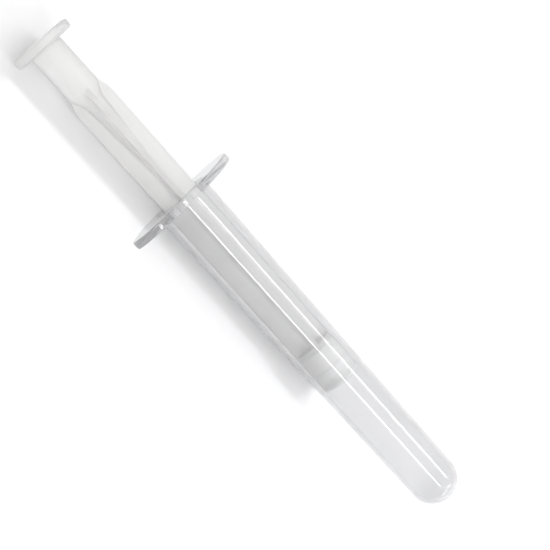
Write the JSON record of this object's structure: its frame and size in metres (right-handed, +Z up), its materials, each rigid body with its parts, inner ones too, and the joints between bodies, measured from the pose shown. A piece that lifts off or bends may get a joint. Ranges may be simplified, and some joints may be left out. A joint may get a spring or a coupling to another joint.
{
  "type": "oral syringe",
  "caption": "Round-nosed dosing syringe: clear barrel with an oval finger flange, soft stopper with sealing lips, and a milky cross-ribbed plunger rod that slides and turns.",
  "frame": {"origin": "on the table the syringe lies on, under the middle of its whole length, with the plunger drawn out as at rest", "axes": "+X along the syringe towards the rounded nose, +Y along the flange's long way, +Z up from the table"},
  "size_m": [0.1742, 0.041, 0.0192],
  "materials": {
    "clear_plastic": "clear, polished, rigid moulded plastic",
    "soft_stopper": "translucent natural soft rubber, satin",
    "milky_plastic": "milky natural moulded plastic, translucent in the thin ribs"
  },
  "bodies": {
    "barrel": {"barrel": "clear_plastic"},
    "stopper": {"piston_stopper": "soft_stopper"},
    "rod": {"plunger_rod": "milky_plastic"}
  },
  "joints": [
    {"name": "plunger_slide", "type": "slide", "parent": "barrel", "child": "stopper", "axis": [1, 0, 0], "range_m": [-0.0561, 0.0406]},
    {"name": "rod_spin", "type": "hinge", "parent": "stopper", "child": "rod", "pos_m": [0.0275, 0, 0.0096], "axis": [1, 0, 0], "continuous": true}
  ]
}
